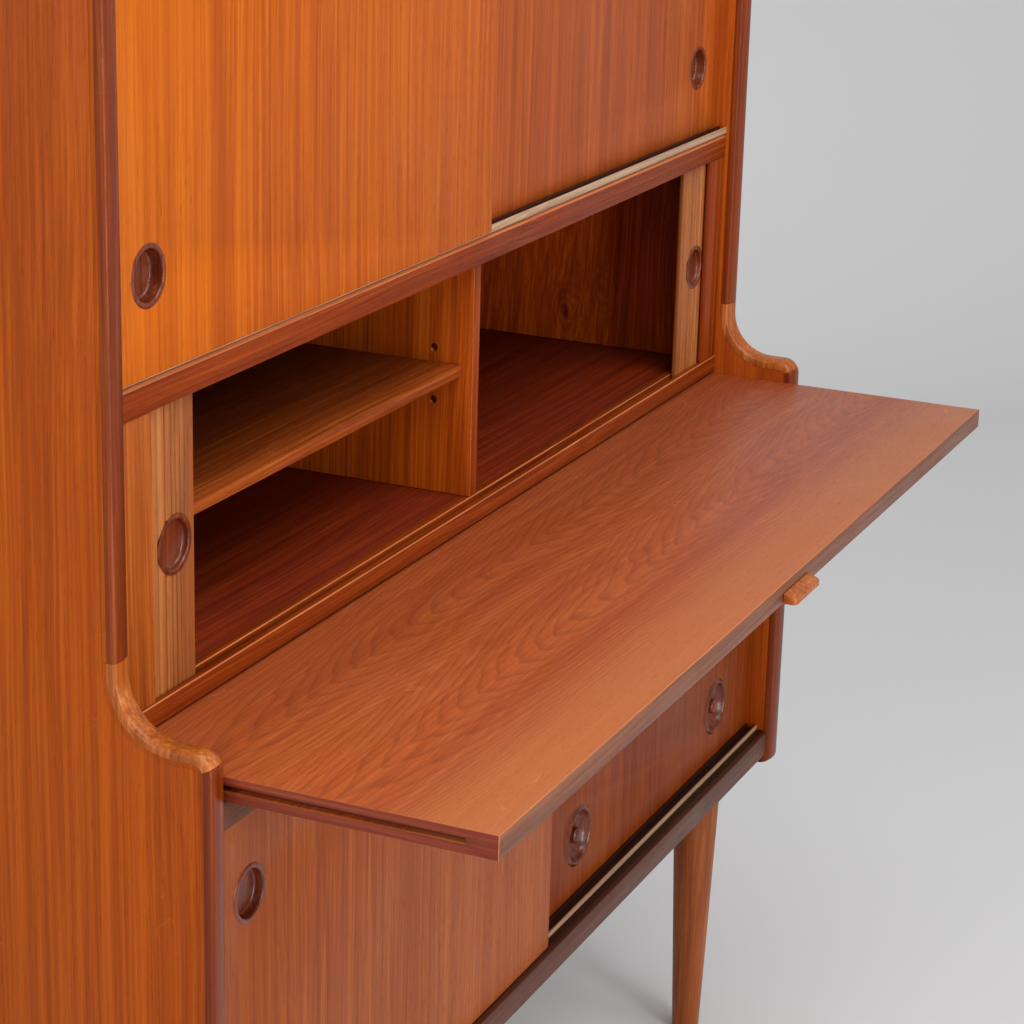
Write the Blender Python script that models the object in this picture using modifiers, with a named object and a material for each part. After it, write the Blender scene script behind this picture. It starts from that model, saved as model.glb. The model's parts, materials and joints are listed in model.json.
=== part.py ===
"""Teak secretary desk on round tapered legs.

A stepped carcass carries two sliding doors above, an open writing compartment with two
tambour shutters in the middle, a pull-out writing leaf, and two sliding doors with three
drawers behind them below. Metres throughout.
"""

import math

import bmesh
import bpy
from mathutils import Matrix, Vector

# Driving dimensions. Every place below is measured from the desk datum: x from the centre
# line, y back from the front plane of the rails, z up from the writing surface.
DESK_HEIGHT = 0.728
INNER_WIDTH = 1.157
SIDE_THICK = 0.0215
TOP = 0.892
SIDE_BOTTOM = -0.428
BACK = 0.3635
LEAF_FRONT = -0.2855
TAB_FRONT = -0.2975
UPPER_FRONT = -0.0135
LOWER_FRONT = -0.0867
GAP = 0.0003

HALF = INNER_WIDTH / 2
OUTER = HALF + SIDE_THICK
RAIL_PLANE = -(TAB_FRONT + BACK) / 2
FLOOR = -DESK_HEIGHT

# Front edge of the sides: a ledge beside the leaf between two straight runs.
LIP_DEPTH = 0.010
LEDGE = 0.022
SWEEP_RADIUS = 0.043
NOSE_RADIUS = 0.0155
FOOT_RADIUS = 0.010
CURVED_TOP = 0.0745
CURVED_BOTTOM = LEDGE - NOSE_RADIUS

# Boards.
BOARD = 0.0215
BACK_FACE = 0.352
BACK_THICK = 0.0057
RAIL_DEPTH = 0.0207
DIVIDER_X = (0.0066, 0.0193)
COMPARTMENT_FLOOR = 0.019
COMPARTMENT_TOP = 0.2293
UPPER_FLOOR = 0.253
COMPARTMENT_BACK = 0.320
LINER_X = 0.556

# Upper sliding doors: two grooved planes, one behind the other.
UPPER_DOOR_THICK = 0.016
UPPER_DOOR_PITCH = 0.0193
UPPER_DOOR_FRONT = -0.0023
UPPER_DOOR_BODY = (0.2604, TOP - BOARD - 0.0015)
UPPER_DOOR_TONGUE = (0.2560, TOP - BOARD + 0.0055)
TONGUE_Y = (0.0043, 0.0093)
TRACK_TOP = 0.2594
RIDGE = 0.0016
RIDGE_CLEAR = 0.0004

# Writing leaf, its runners and its finger tab.
LEAF_THICK = 0.018
LEAF_HALF_WIDTH = HALF - 0.001
LEAF_BACK = 0.1345
GROOVE_STOP = 0.024
GROOVE_DEPTH = 0.0065
GROOVE_HEIGHT = 0.0042
GROOVE_Z = -0.0087
TAB_X = (-0.025, 0.037)

# Lower cabinet.
LOWER_RAIL_FRONT = -0.081
LOWER_RAIL_BACK = -0.0572
LOWER_TOP = (-0.042, -0.0203)
LOWER_FLOOR = -0.392
LOWER_RAIL_BOTTOM = -0.4165
LOWER_DOOR_Z = (-0.3895, -0.0365)
LOWER_LEFT_Y = (-0.0765, -0.0686)
LOWER_RIGHT_Y = (-0.0669, -0.0592)
LOWER_RIDGE_Y = (-0.0693, -0.0673)
LOWER_RIDGE_TOP = -0.3856
DRAWER_FRONT = -0.056
DRAWER_X = (0.0404, 0.5512)
DRAWER_PITCH = 0.115
DRAWER_HEIGHT = 0.113
DRAWER_BOTTOM = -0.3865
DRAWER_BACK = 0.300
FILLER_X = (0.552, HALF - GAP)
PARTITION_X = (-0.009, 0.013, 0.0393)

# Tambour shutters.
LEAD_WIDTH = 0.067
LEAD_Y = (0.0063, 0.0123)
LEAD_Z = (0.0130, 0.2345)
LEAD_LEFT_X = {"left": -0.530, "right": 0.481}
LEAD_PULL_FROM_RIGHT = 0.028
LEAD_PULL_Z = 0.1236
TAMBOUR_GROOVE_Y = (0.0054, 0.0129)
STILE_X = {"left": (-HALF + GAP, -0.5335), "right": (0.538, HALF - GAP)}
STILE_Y = (0.0010, 0.0049)
STORED_X = (0.563, 0.569)
STORED_Y = (0.042, 0.332, 0.338)
STORED_REACH = 0.395

# Round pulls.
DOOR_PULL_X = 0.5333
UPPER_PULL_Z = 0.3234
LOWER_PULL_Z = -0.106
PULL_RIM = 0.02225
PULL_BODY = 0.0190
PULL_INSIDE = 0.0165
DRAWER_PULL_X = (0.1123, 0.4749)
DRAWER_PULL_RISE = 0.0571
DISH_RIM = 0.0302
DISH_BODY = 0.0268
PULL_STEPS = 20

# Legs.
LEG_X = 0.509
LEG_Y = (-0.029, 0.290)
LEG_TOP = -0.4133
LEG_RADIUS_TOP = 0.0255
LEG_RADIUS_FOOT = 0.0144

for old in list(bpy.data.objects):
    bpy.data.objects.remove(old, do_unlink=True)
parts = bpy.data.collections.new("secretary_desk")
cutters = bpy.data.collections.new("cutters")
bpy.context.scene.collection.children.link(parts)
bpy.context.scene.collection.children.link(cutters)

datum = bpy.data.objects.new("desk_datum", None)
datum.location = (0, RAIL_PLANE, DESK_HEIGHT)
parts.objects.link(datum)


def material(name, colour, roughness=0.45):
    made = bpy.data.materials.new(name)
    made.use_nodes = True
    shader = made.node_tree.nodes["Principled BSDF"]
    shader.inputs["Base Color"].default_value = (*colour, 1)
    shader.inputs["Roughness"].default_value = roughness
    shader.inputs["Metallic"].default_value = 0
    return made


side_teak = material("side teak veneer", (0.43, 0.12, 0.015))
door_teak = material("door teak veneer", (0.60, 0.19, 0.02))
dark_teak = material("dark solid teak", (0.16, 0.045, 0.018))
rail_teak = material("solid teak rail", (0.28, 0.09, 0.03))
leaf_teak = material("leaf teak veneer", (0.38, 0.11, 0.035))
inner_teak = material("inner teak veneer", (0.24, 0.065, 0.018))
tambour_teak = material("tambour teak", (0.27, 0.11, 0.05))
track_wood = material("pale track hardwood", (0.42, 0.30, 0.20))
ply = material("back plywood", (0.35, 0.2, 0.1), 0.6)
drawer_wood = material("drawer teak", (0.42, 0.13, 0.03))


def add(name, mesh, place=(0, 0, 0), look=None, parent=datum):
    """Puts a mesh or curve in the scene at a place measured from the desk datum."""
    made = bpy.data.objects.new(name, mesh)
    if look is not None:
        mesh.materials.append(look)
    made.parent = parent
    offset = parent.location if parent is not datum else (0, 0, 0)
    made.location = [at - base for at, base in zip(place, offset)]
    (parts if mesh.materials else cutters).objects.link(made)
    return made


def block(name, x, y, z, look=None, parent=datum):
    """A board given by its ranges along x, y and z; with no look it is a cutter."""
    form = bmesh.new()
    bmesh.ops.create_cube(form, size=1)
    size = (x[1] - x[0], y[1] - y[0], z[1] - z[0])
    bmesh.ops.scale(form, vec=size, verts=form.verts)
    mesh = bpy.data.meshes.new(name)
    form.to_mesh(mesh)
    form.free()
    middle = [(low + high) / 2 for low, high in (x, y, z)]
    made = add(name, mesh, middle, look, parent)
    if look is None:
        hide(made)
    return made


def hide(cutter):
    cutter.hide_render = True
    cutter.display_type = "WIRE"


def profile(name, outline, x, look, parent=datum):
    """A closed (y, z) outline extruded from x[0] to x[1]."""
    made = add(name, outline_curve(name, outline, x[1] - x[0]), (sum(x) / 2, 0, 0), look, parent)
    made.rotation_euler = (math.pi / 2, 0, math.pi / 2)
    return made


def plan(name, outline, z, look, parent=datum):
    """A closed (x, y) outline extruded from z[0] to z[1]."""
    return add(name, outline_curve(name, outline, z[1] - z[0]), (0, 0, sum(z) / 2), look, parent)


def outline_curve(name, outline, thickness):
    curve = bpy.data.curves.new(name, "CURVE")
    curve.dimensions = "2D"
    curve.fill_mode = "BOTH"
    curve.extrude = thickness / 2
    spline = curve.splines.new("POLY")
    spline.points.add(len(outline) - 1)
    for point, (u, v) in zip(spline.points, outline):
        point.co = (u, v, 0, 1)
    spline.use_cyclic_u = True
    return curve


def as_mesh(shape):
    """Swaps a curve or an object with modifiers for a plain mesh object of the same name."""
    name = shape.name
    bpy.context.view_layer.update()
    graph = bpy.context.evaluated_depsgraph_get()
    mesh = bpy.data.meshes.new_from_object(shape.evaluated_get(graph))
    if shape.type == "CURVE":
        form = bmesh.new()
        form.from_mesh(mesh)
        bmesh.ops.remove_doubles(form, verts=form.verts, dist=0.00005)
        bmesh.ops.dissolve_limit(form, angle_limit=0.01, verts=form.verts, edges=form.edges)
        form.to_mesh(mesh)
        form.free()
    mesh.transform(shape.rotation_euler.to_matrix().to_4x4())
    place, parent = shape.location.copy(), shape.parent
    bpy.data.objects.remove(shape)
    mesh.name = name
    made = bpy.data.objects.new(name, mesh)
    made.parent = parent
    made.location = place
    parts.objects.link(made)
    return made


def cut(target, cutter, operation="DIFFERENCE"):
    boolean = target.modifiers.new(cutter.name, "BOOLEAN")
    boolean.operation = operation
    boolean.object = cutter


def round_cutter(name, radius, x, y, z):
    """A cylinder along y, to cut a round seat in a front."""
    form = bmesh.new()
    bmesh.ops.create_cone(
        form, segments=PULL_STEPS, radius1=radius, radius2=radius, depth=y[1] - y[0], cap_ends=True
    )
    bmesh.ops.rotate(form, matrix=Matrix.Rotation(math.pi / 2, 3, "X"), verts=form.verts)
    mesh = bpy.data.meshes.new(name)
    form.to_mesh(mesh)
    form.free()
    made = add(name, mesh, (x, sum(y) / 2, z))
    hide(made)
    return made


def turned(name, section, look, place, parent):
    """A turned piece facing forward: (radius, rise) points from the front of the axis to its back."""
    mesh = bpy.data.meshes.new(name)
    links = [(n, n + 1) for n in range(len(section) - 1)]
    mesh.from_pydata([(radius, 0, rise) for radius, rise in section], links, [])
    made = add(name, mesh, place, look, parent)
    made.rotation_euler = (math.pi / 2, 0, 0)
    screw = made.modifiers.new("turning", "SCREW")
    screw.steps = screw.render_steps = PULL_STEPS
    screw.use_merge_vertices = True
    screw.merge_threshold = 0.00005
    screw.use_smooth_shade = False
    return made


def arc(centre, radius, start, end, steps):
    """Points along an arc in degrees, both ends included."""
    angles = [math.radians(start + (end - start) * n / steps) for n in range(steps + 1)]
    return [(centre[0] + radius * math.cos(a), centre[1] + radius * math.sin(a)) for a in angles]


def curved_edge(inset):
    """The curved stretch of the sides' front edge, upwards, inset behind the crest."""
    nose = (LOWER_FRONT + NOSE_RADIUS, LEDGE - NOSE_RADIUS)
    sweep = (UPPER_FRONT - SWEEP_RADIUS, LEDGE + SWEEP_RADIUS)
    return arc(nose, NOSE_RADIUS - inset, 180, 90, 4) + arc(sweep, SWEEP_RADIUS + inset, 270, 360, 7)


def side(which, sign):
    """One side panel with its lipping in three lengths: lower, curved and upper."""
    x = sorted((sign * HALF, sign * OUTER))
    edge = curved_edge(LIP_DEPTH + GAP)
    front = [(edge[0][0], SIDE_BOTTOM)] + edge + [(edge[-1][0], TOP)]
    profile("side_panel_" + which, front + [(BACK, TOP), (BACK, SIDE_BOTTOM)], x, side_teak)
    foot = arc((LOWER_FRONT + FOOT_RADIUS, SIDE_BOTTOM + FOOT_RADIUS), FOOT_RADIUS, 270, 180, 3)
    lower = [(LOWER_FRONT, CURVED_BOTTOM - GAP), (LOWER_FRONT + LIP_DEPTH, CURVED_BOTTOM - GAP)]
    profile("lower_lipping_" + which, foot[1:] + lower + [foot[0]], x, dark_teak)
    crest = curved_edge(0) + [(UPPER_FRONT, CURVED_TOP)]
    inner = curved_edge(LIP_DEPTH) + [(UPPER_FRONT + LIP_DEPTH, CURVED_TOP)]
    profile("curved_lipping_" + which, crest + inner[::-1], x, rail_teak)
    block(
        "upper_lipping_" + which,
        x,
        (UPPER_FRONT, UPPER_FRONT + LIP_DEPTH),
        (CURVED_TOP + GAP, TOP),
        dark_teak,
    )


def upper_carcass():
    """Top board, cabinet floor, middle rail and the back panel of the carcass."""
    across = (-HALF + GAP, HALF - GAP)
    under = TOP - BOARD
    grooves = []
    for door in (0, 1):
        start = UPPER_DOOR_FRONT + door * UPPER_DOOR_PITCH
        low, high = start + TONGUE_Y[0] - RIDGE_CLEAR, start + TONGUE_Y[1] + RIDGE_CLEAR
        roof = UPPER_DOOR_TONGUE[1] + RIDGE_CLEAR
        grooves += [(low, under), (low, roof), (high, roof), (high, under)]
    top = [(UPPER_FRONT, TOP), (UPPER_FRONT, under)] + grooves + [(BACK, under), (BACK, TOP)]
    profile("top_panel", top, across, side_teak)
    behind = (RAIL_DEPTH + GAP, BACK_FACE - GAP)
    block("upper_cabinet_floor", across, behind, (COMPARTMENT_TOP, UPPER_FLOOR - GAP), inner_teak)
    block(
        "back_panel",
        across,
        (BACK_FACE, BACK_FACE + BACK_THICK),
        (SIDE_BOTTOM + 0.001, under - GAP),
        ply,
    )
    chamfer = 0.004
    low, high = TAMBOUR_GROOVE_Y
    groove_roof = LEAD_Z[1] + 0.0008
    rail = [
        (0, COMPARTMENT_TOP),
        (0, UPPER_FLOOR - chamfer),
        (chamfer, UPPER_FLOOR - GAP),
        (RAIL_DEPTH, UPPER_FLOOR - GAP),
        (RAIL_DEPTH, COMPARTMENT_TOP),
        (high, COMPARTMENT_TOP),
        (high, groove_roof),
        (low, groove_roof),
        (low, COMPARTMENT_TOP),
    ]
    profile("middle_rail", rail, across, rail_teak)


def upper_track():
    """The twin track on the middle rail: two grooves between four ridges."""
    base = UPPER_FLOOR + 0.0022
    outline = [(0, UPPER_FLOOR)]
    for door in (0, 1):
        start = UPPER_DOOR_FRONT + door * UPPER_DOOR_PITCH
        low, high = start + TONGUE_Y[0] - RIDGE_CLEAR, start + TONGUE_Y[1] + RIDGE_CLEAR
        for near, far in ((low - RIDGE, low), (high, high + RIDGE)):
            outline += [(near, base), (near, TRACK_TOP), (far, TRACK_TOP), (far, base)]
    outline = outline[:1] + outline[2:-1] + [(outline[-1][0], UPPER_FLOOR)]
    profile("upper_door_track", outline, (-HALF + GAP, HALF - GAP), track_wood)


def compartment():
    """The writing compartment: tambour rail, floor, back, liners, divider, shelf and stiles."""
    across = (-HALF + GAP, HALF - GAP)
    height = (COMPARTMENT_FLOOR + GAP, COMPARTMENT_TOP - GAP)
    low, high = TAMBOUR_GROOVE_Y
    bottom, groove_floor = 0.0025, LEAD_Z[0] - 0.0007
    rail = [
        (0, COMPARTMENT_FLOOR),
        (0, bottom),
        (RAIL_DEPTH, bottom),
        (RAIL_DEPTH, COMPARTMENT_FLOOR),
        (high, COMPARTMENT_FLOOR),
        (high, groove_floor),
        (low, groove_floor),
        (low, COMPARTMENT_FLOOR),
    ]
    profile("tambour_rail", rail, across, rail_teak)
    behind = (RAIL_DEPTH + GAP, BACK_FACE - GAP)
    block("compartment_floor", across, behind, (bottom, COMPARTMENT_FLOOR), inner_teak)
    block(
        "compartment_back",
        (-LINER_X, LINER_X),
        (COMPARTMENT_BACK, COMPARTMENT_BACK + 0.004),
        height,
        inner_teak,
    )
    for which, sign in (("left", -1), ("right", 1)):
        x = sorted((sign * LINER_X, sign * (LINER_X + 0.0035)))
        block("compartment_liner_" + which, x, (0.039, COMPARTMENT_BACK - GAP), height, inner_teak)
        block("tambour_stile_" + which, STILE_X[which], STILE_Y, height, rail_teak)
    depth = (high + GAP, COMPARTMENT_BACK - GAP)
    block("compartment_divider", DIVIDER_X, depth, height, inner_teak)
    block(
        "compartment_shelf",
        (-LINER_X + GAP, DIVIDER_X[0] - GAP),
        (0.0234, COMPARTMENT_BACK - GAP),
        (0.1265, 0.1360),
        rail_teak,
    )


def cup(name, depth, seat, proud, look, place, parent):
    """A round recessed pull: a rim on the surface and a flat-bottomed cup let into the seat."""
    section = [
        (0, proud - depth),
        (PULL_INSIDE - 0.001, proud - depth),
        (PULL_INSIDE, proud - depth + 0.001),
        (PULL_INSIDE, proud - 0.0006),
        (PULL_INSIDE + 0.0006, proud),
        (PULL_RIM - 0.0006, proud),
        (PULL_RIM, GAP),
        (PULL_BODY, GAP),
        (PULL_BODY, -seat),
        (0, -seat),
    ]
    return turned(name, section, look, place, parent)


def tambour(which):
    """One shutter: the wide lead slat with its pull, and the slats stored beside the liner."""
    left = LEAD_LEFT_X[which]
    name = "tambour_" + which
    lead = block(name + "_lead", (left, left + LEAD_WIDTH), LEAD_Y, LEAD_Z, tambour_teak)
    pull_x = left + LEAD_WIDTH - LEAD_PULL_FROM_RIGHT
    cut(lead, round_cutter(name + "_seat", PULL_BODY + GAP, pull_x, (0, 0.02), LEAD_PULL_Z))
    place = (pull_x, LEAD_Y[0], LEAD_PULL_Z)
    cup(name + "_pull", 0.0050, 0.0057, 0.0006, dark_teak, place, lead)
    sign = -1 if which == "left" else 1
    near, far = sign * STORED_X[0], sign * STORED_X[1]
    front, inner, outer = STORED_Y
    stored = [(near, front), (far, front), (far, outer)]
    stored += [(sign * STORED_REACH, outer), (sign * STORED_REACH, inner), (near, inner)]
    height = (COMPARTMENT_FLOOR + GAP, COMPARTMENT_TOP - GAP)
    plan(name + "_curtain", stored, height, tambour_teak)


def upper_door(which, x, start, lip, pull_x):
    """A sliding door with a tongue at the top and, at the bottom, a tongue behind a thin lip."""
    low, high = start + TONGUE_Y[0], start + TONGUE_Y[1]
    back = start + UPPER_DOOR_THICK
    lip_back = start + 0.0019
    bottom, top = UPPER_DOOR_BODY
    rear = 0.0005
    outline = [
        (start, lip),
        (lip_back, lip),
        (lip_back, bottom),
        (low, bottom),
        (low, UPPER_DOOR_TONGUE[0]),
        (high, UPPER_DOOR_TONGUE[0]),
        (high, bottom + rear),
        (back, bottom + rear),
        (back, top - rear),
        (high, top - rear),
        (high, UPPER_DOOR_TONGUE[1]),
        (low, UPPER_DOOR_TONGUE[1]),
        (low, top),
        (start, top),
    ]
    name = "upper_" + which + "_door"
    door = as_mesh(profile(name, outline, x, door_teak))
    seat = (start - 0.005, start + 0.0125)
    cut(door, round_cutter(name + "_seat", PULL_BODY + GAP, pull_x, seat, UPPER_PULL_Z))
    cup(name + "_pull", 0.0108, 0.0122, 0.0008, dark_teak, (pull_x, start, UPPER_PULL_Z), door)


def writing_leaf():
    """The leaf with a stopped groove in each end, its runners on the sides and its finger tab."""
    x = (-LEAF_HALF_WIDTH, LEAF_HALF_WIDTH)
    leaf = block("writing_leaf", x, (LEAF_FRONT, LEAF_BACK), (-LEAF_THICK, 0), leaf_teak)
    groove = (GROOVE_Z - GROOVE_HEIGHT / 2, GROOVE_Z + GROOVE_HEIGHT / 2)
    for which, sign in (("left", -1), ("right", 1)):
        wide = sorted((sign * (LEAF_HALF_WIDTH - GROOVE_DEPTH), sign * (HALF + 0.01)))
        run = (LEAF_FRONT + GROOVE_STOP, LEAF_BACK + 0.01)
        cut(leaf, block("leaf_groove_" + which, wide, run, groove))
        wide = sorted((sign * (HALF - GAP), sign * (LEAF_HALF_WIDTH - GROOVE_DEPTH + 0.0008)))
        height = (groove[0] + RIDGE_CLEAR, groove[1] - RIDGE_CLEAR)
        block("leaf_runner_" + which, wide, (-0.050, 0.345), height, rail_teak)
    form = bmesh.new()
    bmesh.ops.create_cube(form, size=1)
    size = (TAB_X[1] - TAB_X[0], LEAF_FRONT - GAP - TAB_FRONT, 0.0090)
    bmesh.ops.scale(form, vec=size, verts=form.verts)
    for vertex in form.verts:
        if vertex.co.y < 0 and vertex.co.z > 0:
            vertex.co.z -= 0.0042
    corners = [edge for edge in form.edges if all(v.co.y < 0 for v in edge.verts)]
    corners = [edge for edge in corners if edge.verts[0].co.x * edge.verts[1].co.x > 0]
    bmesh.ops.bevel(form, geom=corners, offset=0.004, segments=3, profile=0.5, affect="EDGES")
    mesh = bpy.data.meshes.new("leaf_finger_tab")
    form.to_mesh(mesh)
    form.free()
    place = (sum(TAB_X) / 2, (TAB_FRONT + LEAF_FRONT - GAP) / 2, -0.0130)
    add("leaf_finger_tab", mesh, place, rail_teak, leaf)


def lower_carcass():
    """The lower cabinet: grooved top rail, boards, bottom rail, door track and partition."""
    across = (-HALF + GAP, HALF - GAP)
    under, over = LOWER_TOP
    roof = LOWER_DOOR_Z[1] + 0.0008
    front_wall = LOWER_LEFT_Y[0] - RIDGE_CLEAR
    back_wall = LOWER_RIGHT_Y[1] + RIDGE_CLEAR
    rail = [
        (LOWER_RAIL_FRONT, over),
        (LOWER_RAIL_FRONT, under),
        (front_wall, under),
        (front_wall, roof),
        (LOWER_RIDGE_Y[0], roof),
        (LOWER_RIDGE_Y[0], under),
        (LOWER_RIDGE_Y[1], under),
        (LOWER_RIDGE_Y[1], roof),
        (back_wall, roof),
        (back_wall, under),
        (LOWER_RAIL_BACK, under),
        (LOWER_RAIL_BACK, over),
    ]
    profile("lower_top_rail", rail, across, dark_teak)
    behind = (LOWER_RAIL_BACK + GAP, BACK_FACE - GAP)
    block("lower_cabinet_top", across, behind, LOWER_TOP, inner_teak)
    block("lower_cabinet_floor", across, behind, (LOWER_FLOOR - BOARD, LOWER_FLOOR), inner_teak)
    front = (LOWER_RAIL_FRONT, LOWER_RAIL_BACK)
    block("lower_bottom_rail", across, front, (LOWER_RAIL_BOTTOM, LOWER_FLOOR), dark_teak)
    foot, base = LOWER_FLOOR + GAP, LOWER_FLOOR + 0.0018
    near, far = LOWER_RIDGE_Y
    track = [
        (LOWER_RAIL_FRONT + 0.004, base),
        (LOWER_RAIL_FRONT + 0.004, foot),
        (LOWER_RAIL_BACK, foot),
        (LOWER_RAIL_BACK, LOWER_RIDGE_TOP),
        (back_wall, LOWER_RIDGE_TOP),
        (back_wall, base),
        (far, base),
        (far, LOWER_RIDGE_TOP),
        (near, LOWER_RIDGE_TOP),
        (near, base),
    ]
    profile("lower_door_track", track, across, track_wood)
    height = (LOWER_FLOOR + GAP, LOWER_TOP[0] - GAP)
    left, middle, right = PARTITION_X
    partition = [
        (left, DRAWER_FRONT),
        (right, DRAWER_FRONT),
        (right, DRAWER_BACK),
        (middle, DRAWER_BACK),
        (middle, BACK_FACE - GAP),
        (left, BACK_FACE - GAP),
    ]
    plan("lower_partition", partition, height, inner_teak)
    block("drawer_filler_right", FILLER_X, (DRAWER_FRONT, DRAWER_BACK), height, drawer_wood)


def lower_doors():
    """The two thin doors; the left one is rebated at the foot to stand in front of the ridge."""
    bottom, top = LOWER_DOOR_Z
    front, back = LOWER_LEFT_Y
    tongue = LOWER_RIDGE_Y[0] - RIDGE_CLEAR
    shoulder, head = LOWER_RIDGE_TOP + 0.0006, LOWER_TOP[0] - 0.0010
    outline = [
        (front, bottom),
        (tongue, bottom),
        (tongue, shoulder),
        (back, shoulder),
        (back, head),
        (tongue, head),
        (tongue, top),
        (front, top),
    ]
    left = as_mesh(profile("lower_left_door", outline, (-HALF + 0.0006, 0.0020), door_teak))
    right_x = (-HALF + 0.0006, 0.0016)
    right = block("lower_right_door", right_x, LOWER_RIGHT_Y, LOWER_DOOR_Z, door_teak)
    for door, which, pull_x, y in (
        (left, "left", -DOOR_PULL_X, LOWER_LEFT_Y),
        (right, "right", right_x[1] - (HALF - DOOR_PULL_X), LOWER_RIGHT_Y),
    ):
        name = "lower_" + which + "_door"
        through = (y[0] - 0.005, y[1] + 0.005)
        cut(door, round_cutter(name + "_seat", PULL_BODY + GAP, pull_x, through, LOWER_PULL_Z))
        seat = y[1] - y[0] - GAP
        proud = 0.0010 if which == "left" else 0.0008
        place = (pull_x, y[0], LOWER_PULL_Z)
        cup(name + "_pull", seat - 0.0005, seat, proud, dark_teak, place, door)


def dish(name, place, parent):
    """A wide recessed pull with a button standing in the middle of the dish."""
    section = [
        (0, 0.0016),
        (0.0062, 0.0011),
        (0.0080, -0.0008),
        (0.0072, -0.0062),
        (0.0096, -0.0086),
        (0.0160, -0.0082),
        (0.0212, -0.0052),
        (0.0244, -0.0006),
        (0.0260, 0.0022),
        (0.0272, 0.0021),
        (DISH_RIM - 0.0004, 0.0007),
        (DISH_RIM, GAP),
        (DISH_BODY, GAP),
        (DISH_BODY, -0.0110),
        (0, -0.0110),
    ]
    turned(name, section, dark_teak, place, parent)


def drawers():
    """Three like drawers: a front with a box behind it, hollow from above, and two dish pulls."""
    front, back = DRAWER_FRONT, DRAWER_BACK - 0.004
    low, high = DRAWER_BOTTOM, DRAWER_BOTTOM + DRAWER_HEIGHT
    face = front + 0.016
    first = block("drawer_bottom", DRAWER_X, (front, face), (low, high), drawer_wood)
    wide = (DRAWER_X[0] + 0.0016, DRAWER_X[1] - 0.0016)
    box = block("drawer_box_form", wide, (face - 0.004, back), (low + 0.006, high - 0.012))
    cut(first, box, "UNION")
    inside = (wide[0] + 0.012, wide[1] - 0.012)
    hollow = block("drawer_hollow", inside, (face, back - 0.012), (low + 0.014, high + 0.02))
    cut(first, hollow)
    rise = low + DRAWER_PULL_RISE
    for which, pull_x in zip(("left", "right"), DRAWER_PULL_X):
        seat = (front - 0.005, front + 0.0113)
        cut(first, round_cutter("drawer_seat_" + which, DISH_BODY + GAP, pull_x, seat, rise))
    bottom = as_mesh(first)
    for level, height in enumerate(("bottom", "middle", "top")):
        name = "drawer_" + height
        drawer = bottom
        if level:
            lift = (0, 0, level * DRAWER_PITCH)
            drawer = add(name, bottom.data, bottom.location + Vector(lift))
        for which, pull_x in zip(("left", "right"), DRAWER_PULL_X):
            place = (pull_x, front, rise + level * DRAWER_PITCH)
            dish(name + "_pull_" + which, place, drawer)


def leg(name, x, y):
    """A round leg that tapers all the way from the cabinet floor to its foot."""
    form = bmesh.new()
    bmesh.ops.create_cone(
        form,
        segments=24,
        radius1=LEG_RADIUS_FOOT,
        radius2=LEG_RADIUS_TOP,
        depth=LEG_TOP - FLOOR - GAP,
        cap_ends=True,
    )
    mesh = bpy.data.meshes.new(name)
    form.to_mesh(mesh)
    form.free()
    mesh.shade_smooth()
    mesh.set_sharp_from_angle(angle=math.radians(40))
    add(name, mesh, (x, y, (LEG_TOP - GAP + FLOOR) / 2), rail_teak)


side("left", -1)
side("right", 1)
upper_carcass()
upper_track()
compartment()
tambour("left")
tambour("right")
upper_door("left", (-HALF + 0.0010, 0.0055), UPPER_DOOR_FRONT, 0.2546, -DOOR_PULL_X)
upper_door(
    "right", (-0.012, HALF - 0.0006), UPPER_DOOR_FRONT + UPPER_DOOR_PITCH, 0.2556, DOOR_PULL_X
)
writing_leaf()
lower_carcass()
lower_doors()
drawers()
for place_name, leg_y in zip(("front", "rear"), LEG_Y):
    leg("leg_" + place_name + "_left", -LEG_X, leg_y)
    leg("leg_" + place_name + "_right", LEG_X, leg_y)
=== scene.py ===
"""Teak secretary desk: the looks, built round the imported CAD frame."""

import json
import math

import bmesh
import bpy
from mathutils import Matrix, Vector

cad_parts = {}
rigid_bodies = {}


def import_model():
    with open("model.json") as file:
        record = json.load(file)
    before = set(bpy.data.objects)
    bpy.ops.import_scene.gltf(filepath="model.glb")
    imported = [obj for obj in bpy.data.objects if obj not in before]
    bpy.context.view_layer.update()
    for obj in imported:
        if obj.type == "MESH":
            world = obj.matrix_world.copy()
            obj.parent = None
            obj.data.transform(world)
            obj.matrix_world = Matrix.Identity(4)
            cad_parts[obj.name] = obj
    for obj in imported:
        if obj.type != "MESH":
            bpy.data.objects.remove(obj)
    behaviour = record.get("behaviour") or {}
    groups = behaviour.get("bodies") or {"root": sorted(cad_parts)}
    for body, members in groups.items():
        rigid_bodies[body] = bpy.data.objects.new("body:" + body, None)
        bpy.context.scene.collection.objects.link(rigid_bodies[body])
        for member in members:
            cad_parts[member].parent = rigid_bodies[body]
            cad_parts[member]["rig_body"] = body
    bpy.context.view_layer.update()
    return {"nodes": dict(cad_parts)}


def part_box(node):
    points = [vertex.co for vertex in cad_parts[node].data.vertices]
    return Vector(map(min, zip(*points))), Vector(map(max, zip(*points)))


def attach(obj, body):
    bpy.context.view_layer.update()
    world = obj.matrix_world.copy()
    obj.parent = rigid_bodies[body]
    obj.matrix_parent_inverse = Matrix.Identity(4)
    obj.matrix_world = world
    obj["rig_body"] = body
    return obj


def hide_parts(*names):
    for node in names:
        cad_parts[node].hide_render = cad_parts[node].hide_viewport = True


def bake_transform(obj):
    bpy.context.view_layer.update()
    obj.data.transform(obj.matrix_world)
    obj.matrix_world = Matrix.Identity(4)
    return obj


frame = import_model()

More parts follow.
